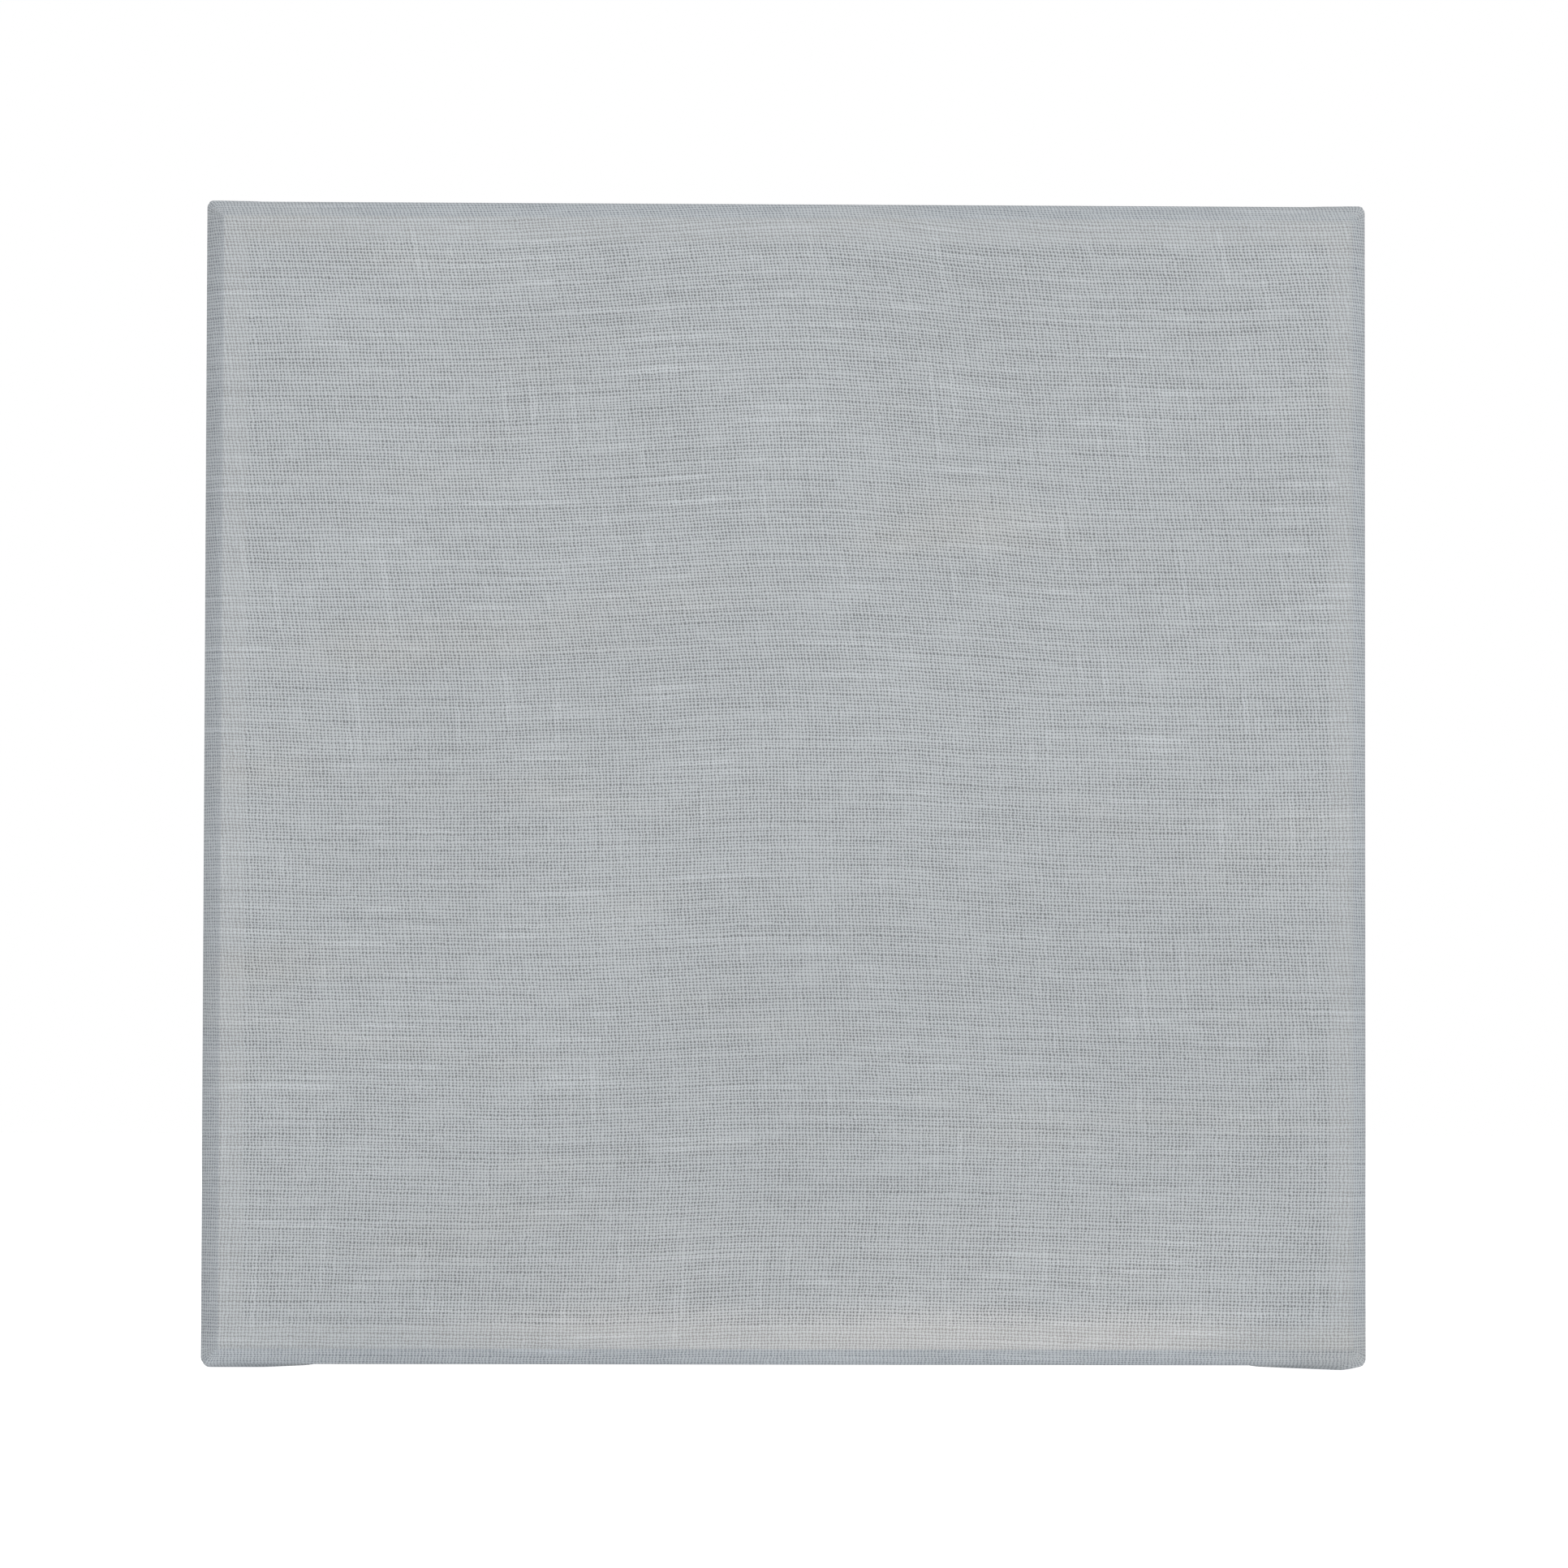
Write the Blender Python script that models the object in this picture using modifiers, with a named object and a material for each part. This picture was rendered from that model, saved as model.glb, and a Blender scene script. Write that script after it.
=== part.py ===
"""Stretched canvas: one folded cloth on four keyed wooden bars, with eight keys, stapled behind.

Metres, +Z up. It stands on its bottom edge at z = 0 and faces -Y, with its middle at x = 0.
Each side has an empty at the outer edge of its bar: local x runs along the bar, local z points in
towards the opening, and local y = 0 is the middle of the bar's thickness, with the back at +y.
"""

import math

import bmesh
import bpy

MM = 0.001

# The face, over the cloth
FACE_WIDTH = 200 * MM
FACE_HEIGHT = 200 * MM

# The bars
BAR_WIDTH = 38 * MM
BAR_THICKNESS = 17 * MM
EDGE_ROUND = 2.2 * MM  # round-over of the front outer edge
BEAD_WIDTH = 6.0 * MM  # raised bead that carries the cloth, from the outer side
BEAD_RAMP = 2.6 * MM  # short steep ramp inside the bead
RAMP_FALL = 1.4 * MM
FRONT_FALL = 2.2 * MM  # whole fall from the bead to the inner edge
EASED_EDGE = 0.8 * MM  # round on the other long edges

# The corner joint
TONGUE_THICKNESS = 3.0 * MM
TONGUE_INSET = 10 * MM  # from the bar's own outer side
TONGUE_STOP = 8 * MM  # wood left outside the tongue's end

# The keys
KEY_LENGTH = 30 * MM
KEY_TIP = 6 * MM
KEY_HEAD = 11 * MM
KEY_IN = 20 * MM  # length inside the slot
KEY_EASED_EDGE = 0.35 * MM

# The cloth
CLOTH = 0.5 * MM
FLAP = 24 * MM  # turned over the back
PLEAT_LAYERS = 2  # layers of the corner fold on top of the single cloth
FOLD_EDGE = 0.2 * MM  # the corner fold stops this far inside the cloth's edges

# The staples
STAPLE_CROWN = 10.6 * MM
STAPLE_WIRE_WIDTH = 1.2 * MM
STAPLE_WIRE = 0.6 * MM
STAPLE_CORNER = 0.9 * MM  # outer round between crown and leg
STAPLE_POINT = 1.2 * MM  # length of the chisel point
STAPLE_TO_CUT = 11 * MM  # from the staple line to the flap's cut edge
STAPLE_FROM_END = 22 * MM  # from the bar's end to its last staple
STAPLES_PER_BAR = 7
STAPLE_TILTS = (4, -3, 2, 5, -4, 1, -6)  # degrees, as a hand stapler leaves them

# Clearances
GAP = 0.3 * MM  # between pieces that touch
LEG_COVER = 0.4 * MM  # wood left between a staple's hole and the joint's slot

# Worked out from the above
PLEAT = PLEAT_LAYERS * CLOTH
WRAP = CLOTH + GAP  # from a bar to the outside of the cloth over it
CLOTH_DEPTH = BAR_THICKNESS + 2 * WRAP
DEPTH = CLOTH_DEPTH + PLEAT + GAP + STAPLE_WIRE
FRONT_Y = -DEPTH / 2
BAR_Y = FRONT_Y + WRAP + BAR_THICKNESS / 2
MIDDLE_Z = PLEAT + FACE_HEIGHT / 2
SLOT_DEPTH = TONGUE_THICKNESS + 2 * GAP
CHEEK = BAR_THICKNESS / 2 - SLOT_DEPTH
KEY_TAPER = (KEY_HEAD - KEY_TIP) / KEY_LENGTH
STAPLE_LINE = FLAP - WRAP - STAPLE_TO_CUT  # from the bar's outer side
STAPLE_RISE = WRAP + GAP + STAPLE_WIRE  # crown's outer face above the bar's back
LEG_LENGTH = STAPLE_RISE + CHEEK - GAP - LEG_COVER
MARGIN = 10 * MM  # how far a cutter reaches past what it cuts


def clear_scene():
    for obj in list(bpy.data.objects):
        bpy.data.objects.remove(obj, do_unlink=True)


def new_collection(name, hidden=False):
    collection = bpy.data.collections.new(name)
    collection.hide_render = hidden
    bpy.context.scene.collection.children.link(collection)
    return collection


def new_material(name, colour, roughness, metallic=0.0):
    material = bpy.data.materials.new(name)
    material.use_nodes = True
    shader = material.node_tree.nodes["Principled BSDF"]
    shader.inputs["Base Color"].default_value = (*colour, 1.0)
    shader.inputs["Roughness"].default_value = roughness
    shader.inputs["Metallic"].default_value = metallic
    material.diffuse_color = (*colour, 1.0)
    return material


def mesh_object(name, work, collection, parent=None):
    """A new object from a bmesh, with its faces turned outward."""
    bmesh.ops.recalc_face_normals(work, faces=work.faces)
    mesh = bpy.data.meshes.new(name)
    work.to_mesh(mesh)
    work.free()
    obj = bpy.data.objects.new(name, mesh)
    obj.parent = parent
    collection.objects.link(obj)
    return obj


def outline_solid(name, points, thickness, collection, parent=None):
    """A flat outline in local X and Y, given this thickness along local Z and made a mesh."""
    curve = bpy.data.curves.new(name, "CURVE")
    curve.dimensions = "2D"
    curve.fill_mode = "BOTH"
    curve.extrude = thickness / 2
    spline = curve.splines.new("POLY")
    spline.points.add(len(points) - 1)
    for point, (x, y) in zip(spline.points, points):
        point.co = (x, y, 0, 1)
    spline.use_cyclic_u = True
    outline = bpy.data.objects.new(name + "_outline", curve)
    collection.objects.link(outline)
    bpy.context.view_layer.update()
    evaluated = outline.evaluated_get(bpy.context.evaluated_depsgraph_get())
    mesh = bpy.data.meshes.new_from_object(evaluated)
    bpy.data.objects.remove(outline, do_unlink=True)
    work = bmesh.new()
    work.from_mesh(mesh)
    bpy.data.meshes.remove(mesh)
    bmesh.ops.remove_doubles(work, verts=work.verts, dist=1e-6)
    return mesh_object(name, work, collection, parent)


def layer_solid(name, points, low, high, collection, parent=None):
    """An outline in the bar's x and z, filling the depth from y = low to y = high."""
    obj = outline_solid(name, points, high - low, collection, parent)
    obj.rotation_euler.x = math.pi / 2
    obj.location.y = (low + high) / 2
    return obj


def make_cutter(obj):
    obj.hide_render = True
    obj.display_type = "WIRE"
    return obj


def cut(obj, cutter, operation="DIFFERENCE"):
    modifier = obj.modifiers.new(cutter.name, "BOOLEAN")
    modifier.operation = operation
    modifier.solver = "EXACT"
    modifier.object = cutter


def arc(centre, radius, first, last, steps):
    """Points on an arc, in degrees, both ends included."""
    turns = [math.radians(first + (last - first) * i / steps) for i in range(steps + 1)]
    return [(centre[0] + radius * math.cos(t), centre[1] + radius * math.sin(t)) for t in turns]


def bar_section():
    """The bar's section as (y, z): the raised bead is at the front, beside the outer side."""
    front, back = -BAR_THICKNESS / 2, BAR_THICKNESS / 2
    fallen = front + FRONT_FALL
    ease = EASED_EDGE
    points = arc((back - ease, ease), ease, -90, 0, 3)
    points += arc((back - ease, BAR_WIDTH - ease), ease, 0, 90, 3)
    points += arc((fallen + ease, BAR_WIDTH - ease), ease, 90, 180, 3)
    points.append((front + RAMP_FALL, BEAD_WIDTH + BEAD_RAMP))
    points.append((front, BEAD_WIDTH))
    points += arc((front + EDGE_ROUND, EDGE_ROUND), EDGE_ROUND, 180, 270, 6)
    return points


def key_slot_wall(height):
    """How far the key's side of the slot is from the bar's end, at this height in the bar."""
    tip_height = BAR_WIDTH - KEY_IN
    return BAR_WIDTH + 2 * GAP + KEY_TIP + KEY_TAPER * (height - tip_height)


def end_cutters(name, length, at_left, side):
    """The mitre with its tongue left standing, and the slot for the next bar's tongue and key.

    They are drawn for the right-hand end, with the tongue in front of the middle and the slot
    behind it. The left-hand end has them turned half round about z, so every corner meets.
    """
    end = length / 2
    high = BAR_WIDTH + MARGIN
    back_off = GAP / math.sqrt(2)
    half = BAR_THICKNESS / 2 + MARGIN
    mitre_points = [
        (end + MARGIN, -MARGIN - back_off),
        (end + MARGIN, high),
        (end - high - back_off, high),
    ]
    mitre = make_cutter(layer_solid(name + "_mitre", mitre_points, -half, half, cutters, side))
    tongue_points = [
        (end - TONGUE_STOP, TONGUE_INSET),
        (end - TONGUE_STOP, high + MARGIN),
        (end - high - 2 * MARGIN, high + MARGIN),
        (end - high - 2 * MARGIN, TONGUE_INSET),
    ]
    tongue = make_cutter(
        layer_solid(
            name + "_tongue", tongue_points, -GAP - TONGUE_THICKNESS, -GAP, cutters, side
        )
    )
    cut(mitre, tongue)
    floor = TONGUE_STOP - GAP
    slot_points = [
        (end - TONGUE_INSET + GAP, floor),
        (end - TONGUE_INSET + GAP, high),
        (end - key_slot_wall(high), high),
        (end - key_slot_wall(floor), floor),
    ]
    slot = make_cutter(layer_solid(name + "_slot", slot_points, 0, SLOT_DEPTH, cutters, side))
    for obj in (mitre, tongue, slot):
        if at_left:
            # The half turn about z follows the quarter turn that stands the outline up.
            obj.rotation_euler = (math.pi / 2, 0, math.pi)
            obj.location.y *= -1
    return mitre, slot


def make_bar(name, length, side):
    """The section drawn out along the bar, then cut at both ends."""
    bar = outline_solid(name, bar_section(), length, parts, side)
    bar.rotation_euler = (math.pi / 2, 0, math.pi / 2)
    for end_name, at_left in (("right", False), ("left", True)):
        for cutter in end_cutters(f"{name}_{end_name}", length, at_left, side):
            cut(bar, cutter)
    bar.data.materials.append(bar_wood)
    return bar


def make_key(name, length, at_left, side):
    """A wedge lying against the next bar's tongue, in this bar's slot. It slides along z."""
    middle_x = length / 2 - BAR_WIDTH - GAP
    middle_z = BAR_WIDTH - KEY_IN + KEY_LENGTH / 2
    points = [
        (0, -KEY_LENGTH / 2),
        (0, KEY_LENGTH / 2),
        (-KEY_HEAD, KEY_LENGTH / 2),
        (-KEY_TIP, -KEY_LENGTH / 2),
    ]
    key = layer_solid(name, points, GAP, GAP + TONGUE_THICKNESS, parts, side)
    middle_y = key.location.y
    key.location = (middle_x, middle_y, middle_z)
    if at_left:
        key.rotation_euler = (math.pi / 2, 0, math.pi)
        key.location = (-middle_x, -middle_y, middle_z)
    bevel = key.modifiers.new("eased edges", "BEVEL")
    bevel.width = KEY_EASED_EDGE
    bevel.segments = 1
    bevel.limit_method = "ANGLE"
    key.data.materials.append(key_wood)
    return key


def staple_outline():
    """A staple's U, crown along X with its outer face at Y = 0, legs pointing down -Y."""
    half = STAPLE_CROWN / 2
    inner = half - STAPLE_WIRE
    bend = STAPLE_CORNER
    points = arc((half - bend, -bend), bend, 90, 0, 3)
    points += [(half, -LEG_LENGTH + STAPLE_POINT), (inner, -LEG_LENGTH), (inner, -STAPLE_WIRE)]
    points += [(-inner, -STAPLE_WIRE), (-inner, -LEG_LENGTH), (-half, -LEG_LENGTH + STAPLE_POINT)]
    return points + arc((-half + bend, -bend), bend, 180, 90, 3)


def make_staples(bar_name, length, on_pleat, number_shift, side):
    """The staples of one side, and one cutter with all of their leg holes."""
    holes = bmesh.new()
    reach = length / 2 - STAPLE_FROM_END
    for i in range(STAPLES_PER_BAR):
        x = -reach + 2 * reach * i / (STAPLES_PER_BAR - 1)
        at_end = i in (0, STAPLES_PER_BAR - 1)
        crown_y = BAR_THICKNESS / 2 + STAPLE_RISE + (PLEAT if on_pleat and at_end else 0)
        tilt = math.radians(STAPLE_TILTS[(i + number_shift) % len(STAPLE_TILTS)])
        staple = outline_solid(
            f"staple_{bar_name}_{i + 1}", staple_outline(), STAPLE_WIRE_WIDTH, parts, side
        )
        staple.location = (x, crown_y, STAPLE_LINE)
        staple.rotation_euler.y = tilt
        staple.data.materials.append(staple_steel)
        hole_top = crown_y + MARGIN
        hole_floor = crown_y - LEG_LENGTH - GAP
        for sign in (-1, 1):
            along = sign * (STAPLE_CROWN - STAPLE_WIRE) / 2
            size = (STAPLE_WIRE + 2 * GAP, hole_top - hole_floor, STAPLE_WIRE_WIDTH + 2 * GAP)
            corners = bmesh.ops.create_cube(holes, size=1)["verts"]
            for corner in corners:
                corner.co = [corner.co[k] * size[k] for k in range(3)]
                corner.co.x += along
                corner.co.rotate(staple.rotation_euler)
                corner.co.x += x
                corner.co.y += (hole_top + hole_floor) / 2
                corner.co.z += STAPLE_LINE
    return make_cutter(mesh_object(f"{bar_name}_staple_holes", holes, cutters, side))


def cloth_shell():
    """The face, four sides and the flaps, as an open box with a rounded front, made thick inward."""
    work = bmesh.new()
    corners = bmesh.ops.create_cube(work, size=1)["verts"]
    for corner in corners:
        corner.co.x *= FACE_WIDTH
        corner.co.y *= CLOTH_DEPTH
        corner.co.z *= FACE_HEIGHT
    work.faces.ensure_lookup_table()
    back = max(work.faces, key=lambda face: face.calc_center_median().y)
    bmesh.ops.inset_region(work, faces=[back], thickness=FLAP, use_even_offset=True)
    bmesh.ops.delete(work, geom=[back], context="FACES_ONLY")
    front_edges = [
        edge for edge in work.edges if all(vert.co.y < -CLOTH_DEPTH * 0.49 for vert in edge.verts)
    ]
    bmesh.ops.bevel(
        work,
        geom=front_edges,
        offset=EDGE_ROUND + WRAP,
        offset_type="OFFSET",
        segments=6,
        profile=0.5,
        affect="EDGES",
    )
    canvas = mesh_object("canvas", work, parts)
    canvas.location = (0, FRONT_Y + CLOTH_DEPTH / 2, MIDDLE_Z)
    solidify = canvas.modifiers.new("cloth", "SOLIDIFY")
    solidify.thickness = CLOTH
    solidify.offset = -1
    solidify.use_even_offset = True
    solidify.use_quality_normals = True
    canvas.data.materials.append(canvas_cloth)
    return canvas


def corner_folds(name, length, side):
    """The folded corners on one side: a triangle on its edge and a slanted band on its flap.

    Each is PLEAT thick and starts in the middle of the cloth under it.
    """
    folds = []
    half = length / 2 + WRAP - FOLD_EDGE
    front = -CLOTH_DEPTH / 2 + EDGE_ROUND + WRAP
    back = CLOTH_DEPTH / 2 - FOLD_EDGE
    spread = back - front
    for word, sign in (("right", 1), ("left", -1)):
        edge_points = [
            (sign * half, front),
            (sign * half, back),
            (sign * (half - spread), back),
        ]
        thickness = PLEAT + CLOTH / 2
        edge_fold = outline_solid(f"{name}_{word}_edge_fold", edge_points, thickness, cutters, side)
        edge_fold.location.z = -WRAP - PLEAT + thickness / 2
        flap_points = [
            (sign * half, -WRAP + FOLD_EDGE),
            (sign * (half - spread), -WRAP + FOLD_EDGE),
            (sign * (half - spread - FLAP), -WRAP + FLAP - FOLD_EDGE),
            (sign * (half - FLAP + 2 * FOLD_EDGE), -WRAP + FLAP - FOLD_EDGE),
        ]
        flap_fold = layer_solid(
            f"{name}_{word}_flap_fold",
            flap_points,
            CLOTH_DEPTH / 2 - CLOTH / 2,
            CLOTH_DEPTH / 2 + PLEAT,
            cutters,
            side,
        )
        folds += [make_cutter(edge_fold), make_cutter(flap_fold)]
    return folds


def make_side(name, place, turn):
    side = bpy.data.objects.new(name + "_side", None)
    side.empty_display_size = 10 * MM
    side.location = place
    side.rotation_euler.y = turn
    parts.objects.link(side)
    return side


clear_scene()
parts = new_collection("stretched canvas")
cutters = new_collection("cutters", hidden=True)
canvas_cloth = new_material("canvas cloth", (0.42, 0.44, 0.46), 0.9)
bar_wood = new_material("bar wood", (0.68, 0.50, 0.31), 0.6)
key_wood = new_material("key wood", (0.58, 0.40, 0.23), 0.55)
staple_steel = new_material("staple steel", (0.60, 0.60, 0.58), 0.32, 1.0)

across = FACE_WIDTH - 2 * WRAP  # length of the level bars
up = FACE_HEIGHT - 2 * WRAP  # length of the upright bars
# Each side's name, bar length, place and turn about Y, and its two ends' corners and key directions.
SIDES = (
    ("bottom", across, (0, BAR_Y, MIDDLE_Z - up / 2), 0, "bottom_right", "bottom_left"),
    ("right", up, (across / 2, BAR_Y, MIDDLE_Z), -math.pi / 2, "top_right", "bottom_right"),
    ("top", across, (0, BAR_Y, MIDDLE_Z + up / 2), math.pi, "top_left", "top_right"),
    ("left", up, (-across / 2, BAR_Y, MIDDLE_Z), math.pi / 2, "bottom_left", "top_left"),
)

canvas = cloth_shell()
folds, holes = [], []
for number, (name, length, place, turn, right_corner, left_corner) in enumerate(SIDES):
    level = name in ("bottom", "top")
    side = make_side(name, place, turn)
    bar = make_bar(name + "_bar", length, side)
    direction = "vertical" if level else "horizontal"
    make_key(f"key_{right_corner}_{direction}", length, False, side)
    make_key(f"key_{left_corner}_{direction}", length, True, side)
    staple_holes = make_staples(name, length, level, 2 * number, side)
    cut(bar, staple_holes)
    holes.append(staple_holes)
    if level:
        folds += corner_folds(name, length, side)
for fold in folds:
    cut(canvas, fold, "UNION")
for staple_holes in holes:
    cut(canvas, staple_holes)
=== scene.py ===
"""Stretched canvas: woven cloth folded over four keyed wooden bars and stapled behind.

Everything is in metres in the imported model's frame: +Z up, the painting face looks along -Y.
"""

import math

import bpy
import numpy as np
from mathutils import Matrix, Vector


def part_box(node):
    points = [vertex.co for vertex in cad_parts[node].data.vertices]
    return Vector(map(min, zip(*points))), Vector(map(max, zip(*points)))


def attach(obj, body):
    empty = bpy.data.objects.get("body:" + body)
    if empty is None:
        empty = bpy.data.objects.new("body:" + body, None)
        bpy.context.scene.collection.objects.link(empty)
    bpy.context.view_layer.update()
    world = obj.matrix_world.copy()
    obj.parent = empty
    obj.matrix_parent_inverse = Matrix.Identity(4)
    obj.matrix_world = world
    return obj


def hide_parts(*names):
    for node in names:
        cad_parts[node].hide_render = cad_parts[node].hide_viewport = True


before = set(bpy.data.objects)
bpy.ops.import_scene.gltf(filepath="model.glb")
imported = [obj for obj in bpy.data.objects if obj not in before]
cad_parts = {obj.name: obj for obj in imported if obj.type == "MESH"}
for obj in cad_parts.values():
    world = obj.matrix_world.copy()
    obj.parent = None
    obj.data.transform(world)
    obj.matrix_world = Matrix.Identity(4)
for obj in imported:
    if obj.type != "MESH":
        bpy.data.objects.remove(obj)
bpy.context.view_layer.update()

MM = 0.001

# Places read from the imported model
CANVAS_LOW, CANVAS_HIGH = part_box("canvas")
MIDDLE_Z = (CANVAS_LOW.z + CANVAS_HIGH.z) / 2
FACE_HALF = CANVAS_HIGH.x
FRONT_Y = CANVAS_LOW.y
BAR_BACK_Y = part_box("bottom_bar")[1].y
WRAP = FACE_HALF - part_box("right_bar")[1].x  # from a bar to the outside of the cloth over it

# The cloth
CLOTH = 0.36 * MM
LAYER = 0.42 * MM  # from one folded layer to the next
SKIN = 0.22 * MM  # the cloth's middle lies this far inside the model's outer faces
HALF = FACE_HALF - SKIN  # half the face, to the cloth's middle
FACE_Y = FRONT_Y + SKIN
BACK_Y = BAR_BACK_Y + WRAP - 0.05 * MM
SIDE = BACK_Y - FACE_Y  # flat width of each side
SIDE_CELLS, FLAP_CELLS = 14, 18  # of the cloth's grid across a side and across a flap
CELL = SIDE / SIDE_CELLS
FINE_CELL = CELL / 4  # by the front and back edges
FINE_REACH = 9  # fine cells on each side of the front edge and inwards from the back edge
FLAP = FLAP_CELLS * CELL
STEP_CELLS = 4  # over which the cloth steps down beside a flap's hidden layer
FRONT_ROUND = 2.9 * MM  # reach of the eased front edge, across the face and down the side
EDGE_POWER = 1.15  # 2 is a round front edge, and 1 a flat chamfer
BACK_ROUND = 0.9 * MM
CORNER_ROUND = 0.9 * MM
GATHER = 5.5 * MM  # the bottom right corner's fold is pressed thin this near the corner
FOLD_SOFT = 5 * MM  # over which the cloth comes down beside a hidden fold
FOLD_LEAD = 0.9  # the share of that which lies past the fold
PINCH = 11 * MM  # a corner's folds are pressed thin up to this far back from the face
PINCH_BOTTOM_RIGHT = 3.2 * MM
FACE_CELL = 4.0 * MM  # of the grid over the flat face

# The weave, and what is behind it
WARP_PITCH = 0.585 * MM
WEFT_PITCH = 0.540 * MM
BEAD_BAND = 6.75 * MM  # the bars' raised bead backs the cloth this far in from the edge
# Thread tones with painted shade and highlight: the shaded tone goes in a thread's dips and flanks, the
# lit tone on its crowns
THREAD_SHADED, THREAD_LIT = (0.365, 0.385, 0.40, 1), (0.52, 0.546, 0.567, 1)
# Painted shade seen through the holes: darkest over the hollow behind the cloth, paler where the wood
# backs it
HOLE_SHADE = (0.20, 0.211, 0.22, 1)  # with nothing behind
HOLE_PALE = (0.31, 0.312, 0.315, 1)  # with wood behind
HOLE_COOL = (0.245, 0.265, 0.29, 1)  # on the edges and sides

# The cut ends' threads, with ranges in millimetres
FRAY_SEED = 4
LONG_THREADS = 14
LONG_LENGTH, SHORT_LENGTH = (4, 11), (0.5, 1.9)
THREAD_RADIUS = (0.09, 0.15)

# The wood
PINE = (0.72, 0.52, 0.31, 1), (0.50, 0.29, 0.13, 1)  # light and dark
BEECH = (0.60, 0.40, 0.23, 1), (0.44, 0.25, 0.12, 1)

# The light and the camera
SURROUND = 0.25  # strength of the white world on the canvas
FLOOR_GLOW, FLOOR_LIFT = 0.85, 0.38  # the floor's own light, as seen and on the canvas
LIGHT_SIZE = 1.0  # across each disk of light
CAMERA_DISTANCE = 1.2
CAMERA_AZIMUTH, CAMERA_ELEVATION, CAMERA_ROLL = -1.27, -2.3, -0.14  # in degrees
CAMERA_SHIFT_X, CAMERA_SHIFT_Z = -0.25 * MM, -0.36 * MM
SENSOR_WIDTH = 36  # in millimetres
VIEW_WIDTH = 0.2692  # what the camera takes in at the canvas


# ---------------------------------------------------------------- meshes

def new_mesh(name, points, faces, smooth=True):
    """A mesh object from arrays of points and faces, at the origin."""
    mesh = bpy.data.meshes.new(name)
    mesh.from_pydata(points.tolist(), [], faces.tolist())
    mesh.polygons.foreach_set("use_smooth", np.full(len(mesh.polygons), smooth))
    obj = bpy.data.objects.new(name, mesh)
    bpy.context.scene.collection.objects.link(obj)
    return obj


def add_uv(obj, name, per_point):
    """A UV map from one pair of numbers for each point."""
    mesh = obj.data
    corner = np.empty(len(mesh.loops), np.int32)
    mesh.loops.foreach_get("vertex_index", corner)
    layer = mesh.uv_layers.new(name=name)
    layer.data.foreach_set("uv", per_point[corner].astype(np.float32).ravel())


def smooth_step(x):
    """0 below 0, 1 above 1, and the cubic 3x^2 - 2x^3 between them."""
    x = np.clip(x, 0, 1)
    return x * x * (3 - 2 * x)


def fold_turn(distance):
    """A sheet folded back on itself: how far in it lies, and the layer it is on, by the flat
    distance from the crease. Within a quarter turn of the crease it follows half a circle that is
    one layer across, and beyond it runs straight. The layer goes from 0 to 1 as distance grows."""
    reach = math.pi * LAYER / 4
    turn = np.clip(distance / reach, -1, 1) * math.pi / 2
    inward = LAYER / 2 * (1 - np.cos(turn)) + np.maximum(np.abs(distance) - reach, 0)
    return inward, 0.5 + 0.5 * np.sin(turn)


def wrap_profile(path):
    """The cloth's section over a bar, by the flat distance beyond the face's sharp edge.

    Gives the distance in from the side, the depth from the face, and the outward normal in those
    two. The front edge is a superellipse quarter and the back edge a round one; the face, the
    side and the flap between them are straight."""
    c, r = FRONT_ROUND, BACK_ROUND
    inward = np.maximum(-path, 0) + np.maximum(path - SIDE, 0)
    depth = np.clip(path, 0, SIDE)
    turn = np.clip((path + c) / (2 * c), 0, 1) * math.pi / 2
    power = 2 / EDGE_POWER
    at_front = np.abs(path) < c
    inward = np.where(at_front, c * (1 - np.sin(turn) ** power), inward)
    depth = np.where(at_front, c * (1 - np.cos(turn) ** power), depth)
    back_turn = np.clip((path - SIDE + r) / (2 * r), 0, 1) * math.pi / 2
    at_back = np.abs(path - SIDE) < r
    inward = np.where(at_back, r * (1 - np.cos(back_turn)), inward)
    depth = np.where(at_back, SIDE - r * (1 - np.sin(back_turn)), depth)
    angle = turn + back_turn
    return inward, depth, -np.sin(angle), -np.cos(angle)


def near_corner(inward, sharp, other):
    """The other distance, moved with the rounded edge so that two edges meet in a mitre."""
    shift = inward - sharp
    room = np.maximum(FRONT_ROUND - sharp, 1e-9)
    return other + np.where(other < FRONT_ROUND, shift * (FRONT_ROUND - other) / room, 0)


def round_corner(across, up):
    """Rounds the square outlines at every distance in from the sides, less towards the middle."""
    level = np.minimum(across, up)
    radius = CORNER_ROUND * np.clip(1 - level / FRONT_ROUND, 0, 1)
    a = np.maximum(radius - (across - level), 0)
    b = np.maximum(radius - (up - level), 0)
    both = (a > 0) & (b > 0)
    scale = np.where(both, radius / np.maximum(np.hypot(a, b), 1e-12), 1)
    return (
        np.where(both, level + radius - a * scale, across),
        np.where(both, level + radius - b * scale, up),
    )


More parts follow.
